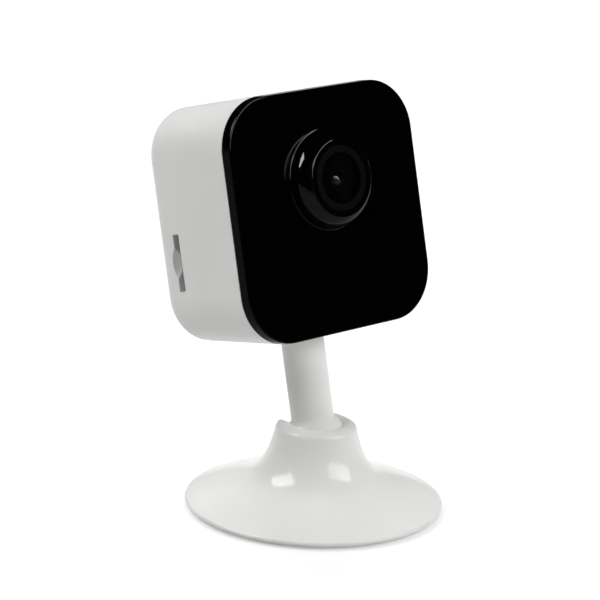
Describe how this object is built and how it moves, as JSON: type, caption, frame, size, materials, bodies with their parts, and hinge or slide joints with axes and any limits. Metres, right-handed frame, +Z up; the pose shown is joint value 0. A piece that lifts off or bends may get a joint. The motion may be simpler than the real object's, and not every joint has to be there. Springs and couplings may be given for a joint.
{
  "type": "indoor security camera",
  "caption": "Square-faced indoor security camera: white tapered head with a black front and lens boss, on a short ball-jointed stem rising from a round domed base.",
  "frame": {"origin": "centre of the base's underside, where the camera stands", "axes": "+Z up; the lens looks towards -Y and the collar's notch is at +Y; +X is to the right seen from the front"},
  "size_m": [0.064, 0.0679, 0.105],
  "materials": {
    "white_gloss": "moulded white plastic with a soft gloss",
    "white_satin": "moulded white plastic, satin",
    "black_gloss": "polished black plastic",
    "black_matt": "matt black plastic",
    "grey_plate": "moulded grey plastic",
    "lens_glass": "coated optical glass",
    "soft_rubber": "soft dark rubber",
    "steel": "bright zinc-plated steel",
    "aluminium": "plain aluminium",
    "board": "green solder mask",
    "chip": "black moulding compound",
    "lamp_clear": "clear lamp resin",
    "flex": "polyimide film",
    "copper": "thin copper"
  },
  "bodies": {
    "base": {"base_cover": "white_gloss", "foot_pad": "soft_rubber", "base_plate": "grey_plate", "base_screws": "steel", "base_weight": "steel", "ball_cup": "grey_plate", "cup_spring": "steel"},
    "stem": {"stem": "white_gloss", "stem_washer": "steel", "stem_nut": "steel"},
    "head": {"aerial": "copper", "aerial_lead": "chip", "board_screws": "steel", "card_socket": "black_matt", "case_screws": "steel", "cover_glass": "lens_glass", "front_frame": "black_matt", "front_lens": "lens_glass", "front_panel": "black_gloss", "heat_sink": "aluminium", "image_sensor": "chip", "infrared_leds": "lamp_clear", "led_board": "board", "led_header": "black_matt", "lens_barrel": "black_matt", "lens_holder": "black_matt", "lens_hood": "black_gloss", "lens_ring": "black_matt", "main_board": "board", "mic_boot": "soft_rubber", "microphone": "steel", "processor": "chip", "rear_lens": "lens_glass", "rear_shell": "white_satin", "reset_switch": "chip", "ribbon_cable": "flex", "ribbon_sockets": "black_matt", "sensor_board": "board", "speaker": "black_matt", "speaker_contacts": "copper", "speaker_gasket": "soft_rubber", "thermal_pad": "soft_rubber", "usb_socket": "steel"},
    "reset_button": {"reset_button": "white_satin"},
    "filter": {"filter_carriage": "black_matt", "filter_glass": "lens_glass"}
  },
  "joints": [
    {"name": "lean", "type": "hinge", "parent": "base", "child": "stem", "pos_m": [0, 0, 0.0166], "axis": [-1, 0, 0], "range_deg": [-22, 60]},
    {"name": "turn", "type": "hinge", "parent": "stem", "child": "head", "pos_m": [0, 0, 0.0166], "axis": [0, 0.2462, 0.9692], "continuous": true},
    {"name": "reset_press", "type": "slide", "parent": "head", "child": "reset_button", "axis": [0, -0.9692, 0.2462], "range_m": [0, 0.0005], "stiffness_N_per_m": 500, "springref_m": -0.0003},
    {"name": "filter_shift", "type": "slide", "parent": "head", "child": "filter", "axis": [-1, 0, 0], "range_m": [0, 0.006]}
  ]
}
